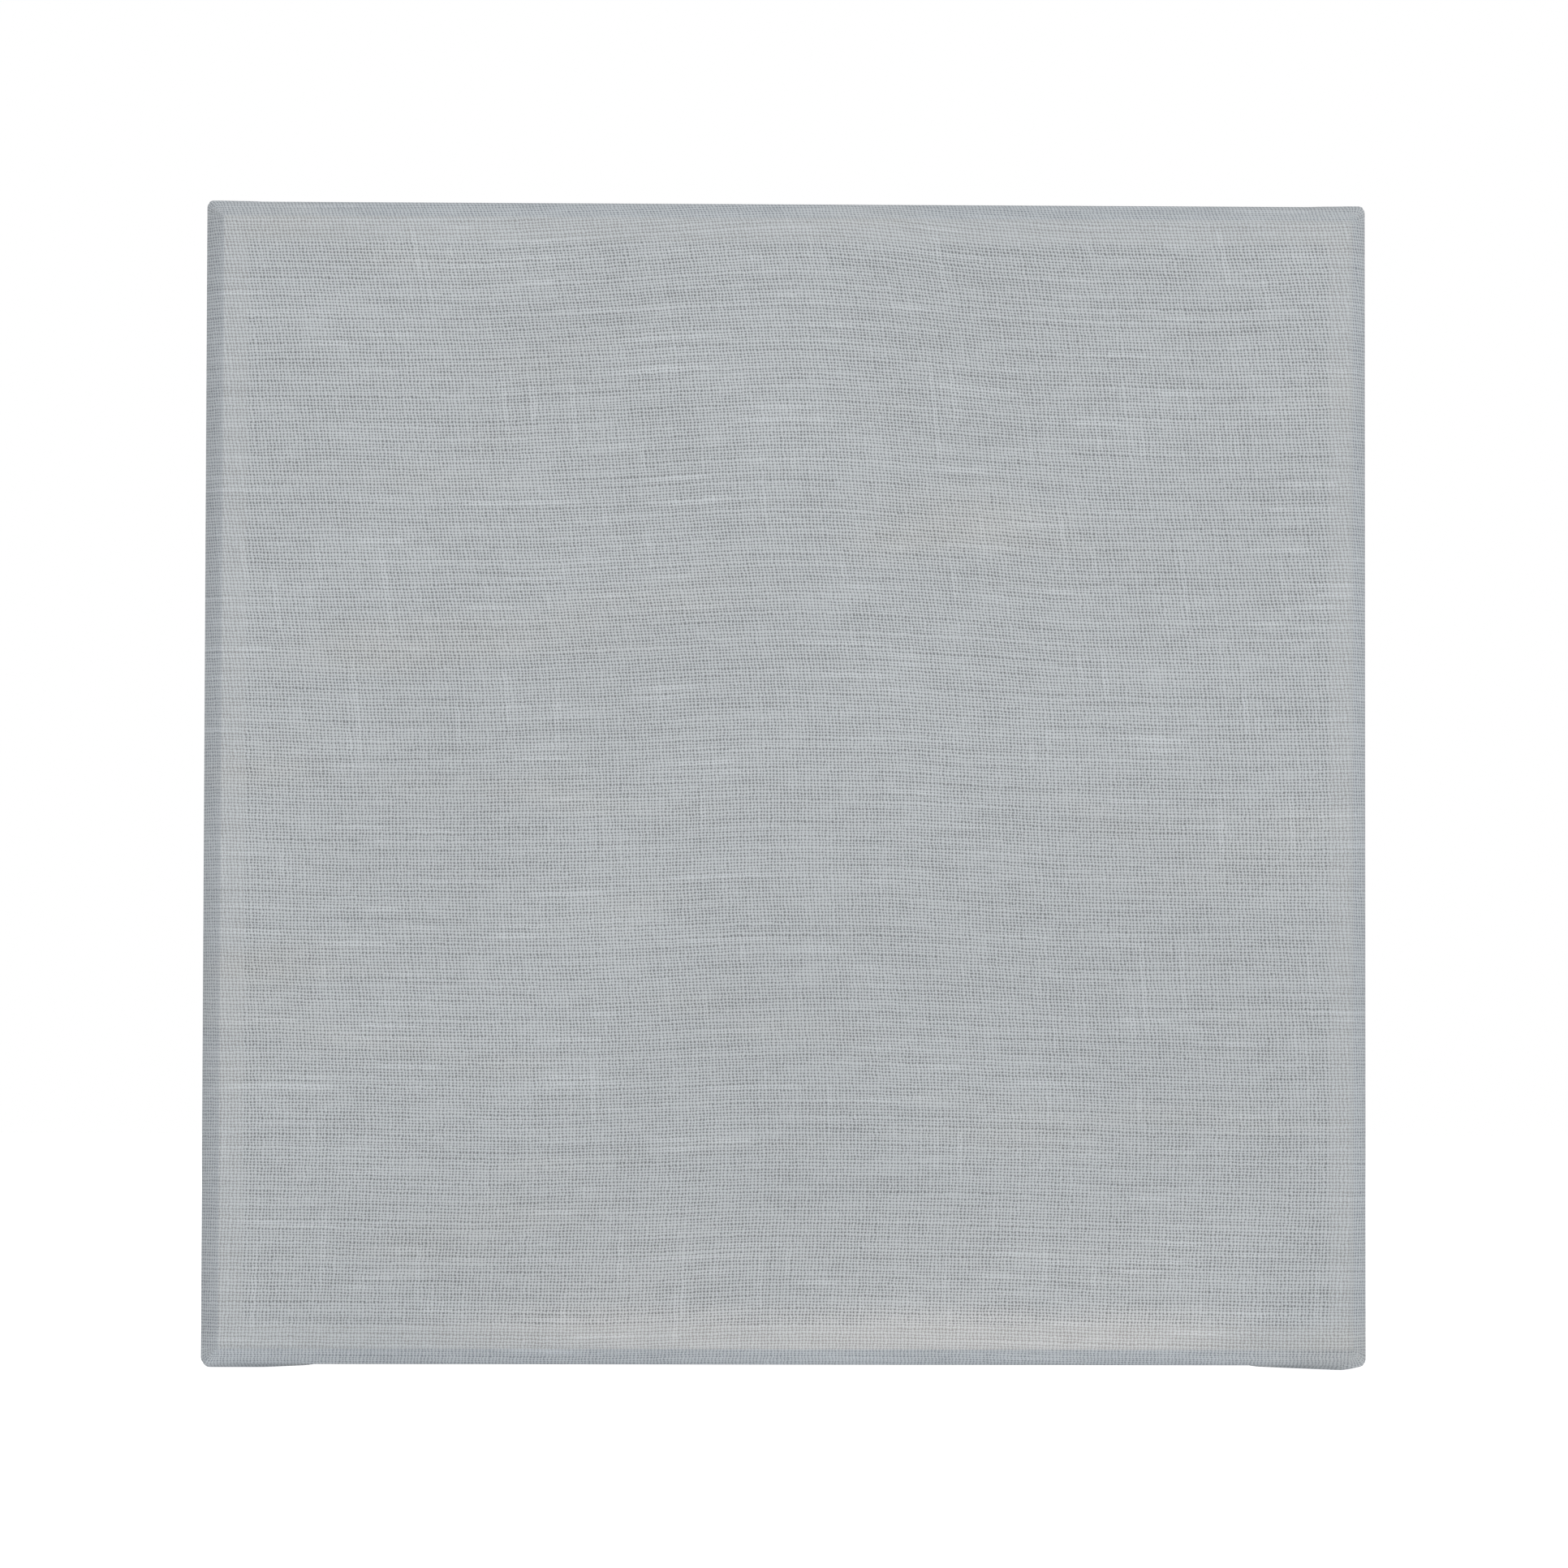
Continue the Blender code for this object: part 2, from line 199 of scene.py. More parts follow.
def folded(s, t):
    """Where a point of the flat cloth lies once it is folded round the bars.

    s and t are the flat distances right and up from the middle. p and q are how far they pass the
    face's edges. The left and right sides are a plain wrap. Past both edges the spare corner is
    pinched along p = q and laid against the top or bottom side, under that side's own cloth,
    which is creased along the corner, so three layers lie there. The result = the wrap's section
    at the distance past the edge, moved out along its normal by the layers that are under it."""
    p, q = np.abs(s) - HALF, np.abs(t) - HALF
    left_right = (q <= 0) & (p > q)
    spare = (p > 0) & (q > 0)

    # The pinched corner: distance along the crease, and off it
    along = (p + q) / math.sqrt(2)
    off, pinch_layer = fold_turn((q - p) / math.sqrt(2))
    spare_in, spare_path = (along - off) / math.sqrt(2), (along + off) / math.sqrt(2)
    crease_in, crease_layer = fold_turn(p)
    pinched = spare & (p >= q / 2)
    own_in = np.where(pinched, np.maximum(spare_in, 0), crease_in)
    layer = np.where(pinched, pinch_layer, 2 - crease_layer)
    path = np.where(spare, spare_path, q)

    # Top and bottom: the cloth rises where the pinched corner is under it, and on the back where
    # the side's flap is. Near the front, and by the bottom right corner, it is pressed thin
    bottom_right = (s >= 0) & (t < 0)
    front = smooth_step(path / np.where(bottom_right, PINCH_BOTTOM_RIGHT, PINCH))
    from_side = np.maximum(own_in, 0)
    soft = np.clip(path, 1e-6, FOLD_SOFT)
    raised = smooth_step((path + FOLD_LEAD * soft - from_side) / soft)
    gathered = np.where(bottom_right, smooth_step((from_side + 1 * MM) / GATHER), 1)
    lift = layer * front * gathered * np.where(spare, 1, raised)
    step = STEP_CELLS * CELL
    past_back = smooth_step((path - SIDE) / (2 * CELL))
    flap_under = smooth_step((FLAP + step - own_in) / step)
    lift = lift + past_back * flap_under * np.where(p > -FLAP - step, 1, 0)
    lift = np.where(q > 0, lift, 0)

    # Wrap whichever way the point goes
    wrap = np.where(left_right, p, path)
    inward, depth, out, forward = wrap_profile(wrap)
    sharp = np.maximum(-wrap, 0) + np.maximum(wrap - SIDE, 0)
    other = np.where(left_right, np.maximum(-q, 0), np.where(q > 0, own_in, np.maximum(-p, 0)))
    other = near_corner(inward, sharp, other)
    across = np.where(left_right, inward, other)
    up = np.where(left_right, other, inward)
    across, up = round_corner(across, up)

    height = LAYER * lift
    up = up + np.where(left_right, 0, height * out)
    depth = depth + np.where(left_right, 0, height * forward)
    return np.stack(
        [np.sign(s) * (HALF - across), FACE_Y + depth, MIDDLE_Z + np.sign(t) * (HALF - up)], axis=-1
    )


def sheet_lines():
    """Flat distances of the cloth's grid lines, right or up from the middle: finest by the front
    and back edges and coarse over the face. The same lines serve both directions, so the creases
    and mitres at 45 degrees pass through grid points."""
    steps = np.arange(-FLAP_CELLS - STEP_CELLS, SIDE_CELLS + FLAP_CELLS + 1) * CELL
    fine_front = np.arange(-FINE_REACH, FINE_REACH + 1) * FINE_CELL
    fine_back = np.arange(-4, FINE_REACH + 1) * FINE_CELL + SIDE
    beyond = np.concatenate([steps, fine_front, fine_back])
    beyond = np.unique(np.round(beyond, 8)) + HALF
    inner = beyond.min()
    middle = np.linspace(-inner, inner, int(round(2 * inner / FACE_CELL)) + 1)[1:-1]
    return np.concatenate([-beyond[::-1], middle, beyond])


def thread_counts(s, t):
    """How many warp and weft threads lie between the middle and this point of the flat cloth.

    The warp leans by an angle that goes from about -10 degrees at the top to 2 at the bottom with
    a slow wave on it, so its sideways shift = a parabola in t plus a sine, and its threads lie a
    little further apart towards the right. The weft rises in a bell-shaped hump just right of the
    middle, higher towards the top, and falls slightly from left to right on a slow wave."""
    degree = math.radians(1)
    wave = 70.2 * MM
    shift = degree * (-4.2 * t - 10.1 * t**2 / (2 * 168.5 * MM))
    shift += degree * 2.2 * wave / (2 * math.pi) * np.sin(2 * math.pi * (t - 65.3 * MM) / wave)
    warp = (s - shift) / WARP_PITCH
    warp = warp - 0.69 * (np.maximum(s - 20 * MM, 0) / (10 * MM)) ** 2 * 0.1
    hump = (1.15 + 2.0 * np.clip(t / (100 * MM), 0, 1.2)) * MM
    rise = hump * np.exp(-(((s - 4.9 * MM) / (32 * MM)) ** 2)) - 0.0035 * s
    rise = rise + 0.25 * MM * np.sin(s / (21 * MM) + 1.2 + t / (60 * MM))
    return warp, (t - rise) / WEFT_PITCH


def make_canvas():
    """The flat square, moved by folded(), without the corners that are trimmed off beyond the top
    and bottom flaps' 45 degree mitres. Returns the object, its flat area and the square's side."""
    lines = sheet_lines()
    count = len(lines)
    s, t = np.meshgrid(lines, lines, indexing="ij")
    index = np.arange(count * count).reshape(count, count)
    a, b = index[:-1, :-1], index[1:, :-1]
    c, d = index[1:, 1:], index[:-1, 1:]
    # Each square is halved along the 45 degree line it may hold: a crease that runs outwards from
    # a corner of the face or, on the sides and flaps beside that, a mitre that runs the other way
    centres = (lines[1:] + lines[:-1]) / 2
    beyond_edge = np.abs(centres) - HALF >= 0
    beside = beyond_edge[:, None] ^ beyond_edge[None, :]
    rising = np.sign(centres)[:, None] * np.sign(centres)[None, :] > 0
    rising = (rising ^ beside)[..., None]
    first = np.where(rising, np.stack([a, b, c], -1), np.stack([a, b, d], -1))
    second = np.where(rising, np.stack([a, c, d], -1), np.stack([b, c, d], -1))
    faces = np.concatenate([first.reshape(-1, 3), second.reshape(-1, 3)])
    flat_s, flat_t = s.ravel(), t.ravel()
    mid_p = np.abs(flat_s[faces].mean(1)) - HALF
    mid_q = np.abs(flat_t[faces].mean(1)) - HALF
    over_back = np.maximum(mid_p, mid_q) - SIDE
    inward = np.where((mid_p > 0) & (mid_q > 0), np.minimum(mid_p, mid_q), -mid_p)
    keep = ~((mid_q > 0) & (over_back > 0) & (over_back > inward))
    faces = faces[keep]
    u, v = flat_s[faces], flat_t[faces]
    u, v = u[:, 1:] - u[:, :1], v[:, 1:] - v[:, :1]
    area = np.abs(u[:, 0] * v[:, 1] - u[:, 1] * v[:, 0]).sum() / 2
    used, faces = np.unique(faces, return_inverse=True)
    points = folded(flat_s, flat_t)[used]
    obj = new_mesh("canvas_cloth", points, faces.reshape(-1, 3))
    warp, weft = thread_counts(flat_s[used], flat_t[used])
    add_uv(obj, "threads", np.stack([warp, weft], -1))
    return obj, float(area), 2 * lines[-1]


def thread_tubes(name, start, lean, length, radius, bend):
    """Short threads: each is a tube about a parabola, start + lean * u + bend * u^2 times its
    length, for u from 0 to 1, and its radius falls to a third at the tip."""
    sides, rings = 5, 6
    u = np.linspace(0, 1, rings)[None, :, None]
    spine = start[:, None] + length[:, None, None] * (lean[:, None] * u + bend[:, None] * u**2)
    ahead = lean[:, None] + 2 * bend[:, None] * u
    ahead = ahead / np.linalg.norm(ahead, axis=-1, keepdims=True)
    across = np.cross(ahead, (0.31, 0.23, 0.92))
    across = across / np.linalg.norm(across, axis=-1, keepdims=True)
    other = np.cross(ahead, across)
    turn = np.arange(sides) * 2 * math.pi / sides
    ring = across[:, :, None] * np.cos(turn)[:, None] + other[:, :, None] * np.sin(turn)[:, None]
    size = radius[:, None, None, None] * (1 - 0.67 * u[..., None])
    points = (spine[:, :, None] + size * ring).reshape(-1, 3)
    base = np.arange(rings - 1)[:, None] * sides
    step, next_step = np.arange(sides), (np.arange(sides) + 1) % sides
    quads = np.stack([base + step, base + next_step, base + next_step + sides, base + step + sides], -1)
    caps = np.stack([np.zeros(sides - 2, int), np.arange(2, sides), np.arange(1, sides - 1)], -1)
    ends = np.concatenate([caps, caps[:, ::-1] + (rings - 1) * sides])
    first = (np.arange(len(start)) * rings * sides)[:, None, None]
    quads, ends = quads.reshape(1, -1, 4) + first, ends[None] + first
    halves = quads[..., [0, 1, 2]], quads[..., [0, 2, 3]], ends
    obj = new_mesh(name, points, np.concatenate([part.reshape(-1, 3) for part in halves]))
    add_uv(obj, "threads", np.full((len(points), 2), 0.5))
    return obj


def make_fray():
    """Thread ends along the flap's four cut edges, one to a thread, and a few long loose ones."""
    random = np.random.default_rng(FRAY_SEED)
    cut = HALF - FLAP  # from the middle
    count = int(2 * cut / WARP_PITCH)
    starts, leans = [], []
    for turn in range(4):
        along = np.linspace(-cut, cut, count) + random.normal(0, 0.1 * MM, count)
        inward = np.full(count, cut + 0.3 * MM)
        cos, sin = round(math.cos(turn * math.pi / 2)), round(math.sin(turn * math.pi / 2))
        side = np.stack([inward * cos - along * sin, np.full(count, BACK_Y),
                         MIDDLE_Z + inward * sin + along * cos], -1)
        sway = random.normal(0, 0.28, count)
        rise = random.uniform(-0.02, 0.30, count)
        starts.append(side)
        leans.append(np.stack([-cos - sway * sin, rise, -sin + sway * cos], -1))
    start, lean = np.concatenate(starts), np.concatenate(leans)
    total = len(start)
    length = random.uniform(*SHORT_LENGTH, total) * MM
    long_ones = random.choice(total, LONG_THREADS, replace=False)
    length[long_ones] = random.uniform(*LONG_LENGTH, LONG_THREADS) * MM
    bend = np.stack([random.normal(0, 0.35, total), random.uniform(0.0, 0.12, total),
                     random.normal(-0.05, 0.35, total)], -1)
    bend[long_ones, 1] = 0.1
    radius = random.uniform(*THREAD_RADIUS, total) * MM
    return thread_tubes("cut_edge_threads", start, lean, length, radius, bend)


# ---------------------------------------------------------------- node helpers

class Graph:
    """Short ways to add nodes to one node tree. Sockets or plain values go in, a socket comes out."""

    def __init__(self, tree):
        self.tree = tree

    def node(self, kind, **settings):
        made = self.tree.nodes.new(kind)
        for key, value in settings.items():
            setattr(made, key, value)
        return made

    def feed(self, socket, value):
        if isinstance(value, bpy.types.NodeSocket):
            self.tree.links.new(value, socket)
        elif value is not None:
            socket.default_value = value

    def math(self, operation, *values, clamp=False):
        made = self.node("ShaderNodeMath", operation=operation, use_clamp=clamp)
        for socket, value in zip(made.inputs, values):
            self.feed(socket, value)
        return made.outputs[0]

    def ramp(self, value, low, high, to_low=0.0, to_high=1.0, smooth=True):
        """Goes from to_low to to_high as value goes from low to high."""
        made = self.node("ShaderNodeMapRange")
        made.interpolation_type = "SMOOTHSTEP" if smooth else "LINEAR"
        for name, entry in zip(
            ("Value", "From Min", "From Max", "To Min", "To Max"), (value, low, high, to_low, to_high)
        ):
            self.feed(made.inputs[name], entry)
        return made.outputs["Result"]

    def mix(self, factor, first, second, blend="MIX"):
        made = self.node("ShaderNodeMix", data_type="RGBA", blend_type=blend)
        self.feed(made.inputs[0], factor)
        for socket, value in ((made.inputs[6], first), (made.inputs[7], second)):
            self.feed(socket, value)
        return made.outputs[2]

    def vector(self, operation, *values):
        made = self.node("ShaderNodeVectorMath", operation=operation)
        for socket, value in zip(made.inputs, values):
            self.feed(socket, value)
        return made.outputs[0]

    def noise(self, vector, scale, detail, rough=0.5):
        made = self.node("ShaderNodeTexNoise")
        self.feed(made.inputs["Vector"], vector)
        for name, value in (("Scale", scale), ("Detail", detail), ("Roughness", rough)):
            self.feed(made.inputs[name], value)
        return made.outputs["Fac"]

    def parts(self, vector):
        made = self.node("ShaderNodeSeparateXYZ")
        self.feed(made.inputs[0], vector)
        return made.outputs

    def join(self, x, y, z=0.0):
        made = self.node("ShaderNodeCombineXYZ")
        for socket, value in zip(made.inputs, (x, y, z)):
            self.feed(socket, value)
        return made.outputs[0]

    def group(self, tree, **inputs):
        made = self.node("ShaderNodeGroup", node_tree=tree)
        for name, value in inputs.items():
            self.feed(made.inputs[name.replace("_", " ")], value)
        return made.outputs


def new_group(name, inputs, outputs):
    """A shader node group with named sockets: (graph, its inputs, a function that sets outputs)."""
    tree = bpy.data.node_groups.new(name, "ShaderNodeTree")
    for label, kind, default in inputs:
        socket = tree.interface.new_socket(label, in_out="INPUT", socket_type=kind)
        if default is not None:
            socket.default_value = default
    for label, kind in outputs:
        tree.interface.new_socket(label, in_out="OUTPUT", socket_type=kind)
    graph = Graph(tree)
    entry, leave = graph.node("NodeGroupInput"), graph.node("NodeGroupOutput")

    def put(**values):
        for label, value in values.items():
            graph.feed(leave.inputs[label.replace("_", " ")], value)
        return tree

    return graph, entry.outputs, put


FLOAT, VECTOR = "NodeSocketFloat", "NodeSocketVector"


def weave_group():
    """Plain weave in thread counts: half-round threads that go over and under each other.

    The counts are first bent: each thread keeps its own spacing from its neighbours along its
    length, and all of them wander slowly. Openness is a random number for each hole plus noise
    that is drawn out along the threads, and it narrows the threads round that hole. A thread's
    height = its half-round section, times a half plus or minus half the cosine along it, with the
    sign changing from one crossing to the next."""
    g, inp, put = new_group(
        "plain weave",
        [("Threads", VECTOR, None), ("Warp Half", FLOAT, 0.44), ("Weft Half", FLOAT, 0.44),
         ("Opening", FLOAT, 0.2), ("Uneven", FLOAT, 1.0)],
        [("Height", FLOAT), ("Hole", FLOAT), ("Streak", FLOAT), ("Slub", FLOAT)],
    )
    threads = inp["Threads"]
    a, b, _ = g.parts(threads)

    def drawn_out(first, second, seed, detail=1.0):
        """Noise from -0.5 to 0.5 about, from the two counts at their own scales."""
        place = g.join(g.math("MULTIPLY", a, first), g.math("MULTIPLY", b, second), seed)
        return g.math("SUBTRACT", g.noise(place, 1.0, detail), 0.5)

    def moved(count, bunching, wobble, spacing, wander, jitter):
        """The count, bent: spacing is each thread's own, and wander and jitter are shared."""
        shift = g.math("MULTIPLY_ADD", spacing, bunching, g.math("MULTIPLY", wander, 1.4))
        shift = g.math("MULTIPLY_ADD", jitter, wobble, shift)
        return g.math("MULTIPLY_ADD", shift, inp["Uneven"], count)

    a_bent = moved(a, 0.5, 0.85, drawn_out(0.55, 0.010, 3.1), drawn_out(0.02, 0.02, 5.3),
                   drawn_out(0.4, 0.4, 1.7))
    b_bent = moved(b, 1.0, 0.4, drawn_out(0.010, 0.55, 8.7), drawn_out(0.02, 0.02, 9.9),
                   drawn_out(0.4, 0.4, 4.6))
    cell_a, cell_b = g.math("FLOOR", a_bent), g.math("FLOOR", b_bent)
    from_a = g.math("SUBTRACT", g.math("SUBTRACT", a_bent, cell_a), 0.5)
    from_b = g.math("SUBTRACT", g.math("SUBTRACT", b_bent, cell_b), 0.5)
    odd = g.math("FLOORED_MODULO", g.math("ADD", cell_a, cell_b), 2.0)
    sign = g.math("SUBTRACT", 1.0, g.math("MULTIPLY", odd, 2.0))

    hole_a = g.math("FLOOR", g.math("ADD", a_bent, 0.5))
    hole_b = g.math("FLOOR", g.math("ADD", b_bent, 0.5))
    chance = g.node("ShaderNodeTexWhiteNoise", noise_dimensions="2D")
    g.feed(chance.inputs["Vector"], g.join(hole_a, hole_b))
    row_place = g.join(g.math("MULTIPLY", a, 0.022), g.math("MULTIPLY", hole_b, 3.7), 2.0)
    column_place = g.join(g.math("MULTIPLY", hole_a, 3.7), g.math("MULTIPLY", b, 0.022), 6.0)
    row, column = g.noise(row_place, 1.0, 1.0), g.noise(column_place, 1.0, 1.0)
    score = g.math("MULTIPLY", chance.outputs["Value"], 0.55)
    score = g.math("MULTIPLY_ADD", drawn_out(0.10, 0.24, 7.7, 2.0), 1.3, score)
    score = g.math("MULTIPLY_ADD", g.math("SUBTRACT", row, 0.5), 0.9, score)
    score = g.math("MULTIPLY_ADD", g.math("SUBTRACT", column, 0.5), 0.3, score)
    openness = g.math("ADD", score, 0.22, clamp=True)

    def thread(across, along, half, turn):
        """(height, round section) of one set of threads."""
        width = g.math("SUBTRACT", half, g.math("MULTIPLY", inp["Opening"], openness))
        ratio = g.math("DIVIDE", across, width)
        section = g.math("SUBTRACT", 1.0, g.math("MULTIPLY", ratio, ratio))
        section = g.math("SQRT", g.math("MAXIMUM", section, 0.0))
        over = g.math("MULTIPLY", g.math("COSINE", g.math("MULTIPLY", along, math.pi)), sign)
        over = g.math("MULTIPLY_ADD", over, 0.5 * turn, 0.5)
        return g.math("MULTIPLY", section, over), section

    warp_high, warp_cover = thread(from_a, from_b, inp["Warp Half"], 1.0)
    weft_high, weft_cover = thread(from_b, from_a, inp["Weft Half"], -1.0)
    cover = g.math("MAXIMUM", warp_cover, weft_cover)
    thick_row, thick_column = g.ramp(row, 0.28, 0.35, 1.0, 0.0), g.ramp(column, 0.26, 0.33, 1.0, 0.0)
    return put(
        Height=g.math("MAXIMUM", warp_high, weft_high),
        Hole=g.ramp(cover, 0.1, 0.75, 1.0, 0.0),
        Streak=row,
        Slub=g.math("MAXIMUM", thick_row, thick_column),
    )


def backing_group():
    """What lies behind the cloth, and painted light low on the face, from the object's own coordinates.

    Bead is 1 on the face over the bars' raised bead and 1 on the flap over the bars' backs. Edge
    is 1 on the chamfered front edges and the sides. The last output marks a paler stretch low on the
    face: a band along the bottom edge, and above it painted light from below that fades up the face."""
    g, inp, put = new_group(
        "backing", [("Position", VECTOR, None), ("Band", FLOAT, BEAD_BAND)],
        [("Bead", FLOAT), ("Edge", FLOAT), ("Rub", FLOAT)],
    )
    x, y, z = g.parts(inp["Position"])
    from_x = g.math("ABSOLUTE", g.math("SUBTRACT", x, 0.35 * MM))
    from_z = g.math("ABSOLUTE", g.math("SUBTRACT", z, MIDDLE_Z))
    edge = g.math("SUBTRACT", FACE_HALF, g.math("MAXIMUM", from_x, from_z))
    on_face = g.ramp(edge, inp["Band"], g.math("ADD", inp["Band"], 0.4 * MM), 1.0, 0.0)
    behind = g.ramp(y, 0.0, 5 * MM)
    side = g.ramp(edge, FRONT_ROUND - 0.25 * MM, FRONT_ROUND, 1.0, 0.0)
    height = g.math("SUBTRACT", z, MIDDLE_Z - FACE_HALF)
    # A paler band along the bottom edge, and above it painted light from below that fades up the face
    near = g.math("MULTIPLY", g.ramp(height, 7 * MM, 12 * MM, 1.0, 0.0), 0.7)
    band_and_painted_light_by_height = g.math("MULTIPLY_ADD", g.ramp(height, 8 * MM, 34 * MM, 1.0, 0.0), 0.3, near)
    along = g.math("MULTIPLY", g.ramp(x, -70 * MM, -25 * MM), g.ramp(x, 60 * MM, 90 * MM, 1.0, 0.0))
    mottle = g.noise(g.vector("MULTIPLY", inp["Position"], (30.0, 30.0, 90.0)), 1.0, 2.0)
    pale_band_and_painted_light = g.math("MULTIPLY", band_and_painted_light_by_height, g.math("MULTIPLY", along, g.ramp(mottle, 0.25, 0.6, 0.45, 1.0)))
    return put(
        Bead=g.math("MAXIMUM", on_face, behind),
        Edge=g.math("MULTIPLY", side, g.math("SUBTRACT", 1.0, behind)),
        Rub=g.math("MULTIPLY", pale_band_and_painted_light, g.math("SUBTRACT", 1.0, g.math("MAXIMUM", side, behind))),
    )


def grain_group():
    """Softwood grain running along X: rings about a pith line off to one side, bent by noise.

    Rings = the fraction of the distance from the pith over the ring width; late wood is the last
    part of each ring. Fibres are noise stretched along X."""
    g, inp, put = new_group(
        "wood grain",
        [("Position", VECTOR, None), ("Pith", VECTOR, (0.0, 0.06, -0.05)),
         ("Ring Width", FLOAT, 0.0022), ("Knots", FLOAT, 1.0)],
        [("Late Wood", FLOAT), ("Fibre", FLOAT), ("Knot", FLOAT), ("Patch", FLOAT)],
    )
    place = inp["Position"]
    cells = g.node("ShaderNodeTexVoronoi")
    g.feed(cells.inputs["Vector"], g.vector("MULTIPLY", place, (14.0, 24.0, 24.0)))
    cells.inputs["Scale"].default_value = 1.0
    knot_size = g.noise(g.vector("MULTIPLY", place, (300.0, 500.0, 500.0)), 0.2, 2.0)
    from_knot = g.math("SUBTRACT", knot_size, 0.5)
    from_knot = g.math("MULTIPLY_ADD", from_knot, 0.05, cells.outputs["Distance"])
    knot = g.math("MULTIPLY", g.ramp(from_knot, 0.09, 0.125, 1.0, 0.0), inp["Knots"])
    swirl = g.math("MULTIPLY", g.ramp(from_knot, 0.05, 0.42, 1.0, 0.0), inp["Knots"])
    slow = g.noise(g.vector("MULTIPLY", place, (7.0, 30.0, 30.0)), 1.0, 3.0)
    from_pith = g.vector("SUBTRACT", place, inp["Pith"])
    flat = g.vector("MULTIPLY", from_pith, (0.0, 1.0, 1.0))
    length = g.node("ShaderNodeVectorMath", operation="LENGTH")
    g.feed(length.inputs[0], flat)
    bent = g.math("ADD", length.outputs["Value"], g.math("MULTIPLY", slow, 0.008))
    bent = g.math("ADD", bent, g.math("MULTIPLY", swirl, 0.007))
    ring = g.math("FRACT", g.math("DIVIDE", bent, inp["Ring Width"]))
    late = g.math("MULTIPLY", g.ramp(ring, 0.35, 0.88), g.ramp(ring, 0.93, 1.0, 1.0, 0.0))
    fibre = g.noise(g.vector("MULTIPLY", place, (90.0, 2600.0, 2600.0)), 1.0, 3.0, 0.65)
    patch = g.noise(g.vector("MULTIPLY", place, (9.0, 40.0, 40.0)), 1.0, 2.0)
    return put(Late_Wood=late, Fibre=fibre, Knot=knot, Patch=patch)


def new_material(name):
    """(material, graph, shader) with only a Principled BSDF and its output."""
    material = bpy.data.materials.new(name)
    material.use_nodes = True
    graph = Graph(material.node_tree)
    return material, graph, material.node_tree.nodes["Principled BSDF"]


def bump(graph, shader, height, distance, strength):
    made = graph.node("ShaderNodeBump")
    made.inputs["Strength"].default_value = strength
    made.inputs["Distance"].default_value = distance
    graph.feed(made.inputs["Height"], height)
    graph.feed(shader.inputs["Normal"], made.outputs["Normal"])


def cloth_material(name, weave, backing):
    """Unprimed grey cloth: light threads with painted highlights on their crowns and painted shade in
    their dips, holes painted with the shade behind the cloth, pale holes over the bead, streaks, slubs,
    and painted light low on the face.
    """
    material, g, shader = new_material(name)
    uv = g.node("ShaderNodeUVMap", uv_map="threads").outputs[0]
    place = g.node("ShaderNodeTexCoord").outputs["Object"]
    woven = g.group(weave, Threads=uv, Warp_Half=0.42, Weft_Half=0.40, Opening=0.14, Uneven=1.0)
    behind = g.group(backing, Position=place, Band=BEAD_BAND)
    # Painted shade and highlight on the threads: the lower the weave's surface, the darker its colour
    thread = g.mix(g.ramp(woven["Height"], 0.1, 0.85), THREAD_SHADED, THREAD_LIT)
    # The holes are painted with the shade behind the cloth, paler over the wood
    hole = g.mix(behind["Bead"], HOLE_SHADE, HOLE_PALE)
    hole = g.mix(behind["Edge"], hole, HOLE_COOL)
    cloth = g.mix(woven["Hole"], thread, hole)
    streak = g.ramp(woven["Streak"], 0.3, 0.7, 1.02, 0.98, smooth=False)
    slow = g.noise(g.vector("MULTIPLY", place, (22.0, 22.0, 22.0)), 1.0, 3.0)
    shade = g.math("MULTIPLY", streak, g.ramp(slow, 0.3, 0.7, 0.975, 1.02))
    shade = g.math("MULTIPLY", shade, g.ramp(woven["Slub"], 0.0, 1.0, 1.0, 1.075))
    cloth = g.mix(1.0, cloth, g.join(shade, shade, shade), "MULTIPLY")
    cloth = g.mix(behind["Edge"], cloth, g.mix(1.0, cloth, (0.97, 0.982, 1.0, 1), "MULTIPLY"))
    warm = g.noise(g.vector("MULTIPLY", place, (16.0, 16.0, 60.0)), 1.0, 2.0)
    warmed = g.mix(1.0, cloth, (1.05, 1.0, 0.94, 1), "MULTIPLY")
    cloth = g.mix(g.ramp(warm, 0.54, 0.8, 0.0, 0.4), cloth, warmed)
    # Painted light from below, warm, low on the face, with a paler band along the bottom edge
    paled_and_lit = g.mix(1.0, cloth, (1.17, 1.125, 1.095, 1), "MULTIPLY")
    cloth = g.mix(behind["Rub"], cloth, paled_and_lit)
    slub = g.noise(g.vector("MULTIPLY", uv, (0.8, 0.05, 1.0)), 1.0, 1.0)
    weft_slub = g.noise(g.vector("MULTIPLY", uv, (0.05, 0.8, 1.0)), 1.0, 1.0)
    slub = g.math("MAXIMUM", g.ramp(slub, 0.80, 0.86), g.ramp(weft_slub, 0.81, 0.87))
    cloth = g.mix(g.math("MULTIPLY", slub, 0.7), cloth, (0.68, 0.70, 0.71, 1))
    g.feed(shader.inputs["Base Color"], cloth)
    g.feed(shader.inputs["Roughness"], g.ramp(woven["Height"], 0.0, 1.0, 0.98, 0.85))
    shader.inputs["Specular IOR Level"].default_value = 0.25
    shader.inputs["Sheen Weight"].default_value = 0.08
    shader.inputs["Sheen Roughness"].default_value = 0.5
    bump(g, shader, woven["Height"], 0.14 * MM, 0.5)
    return material


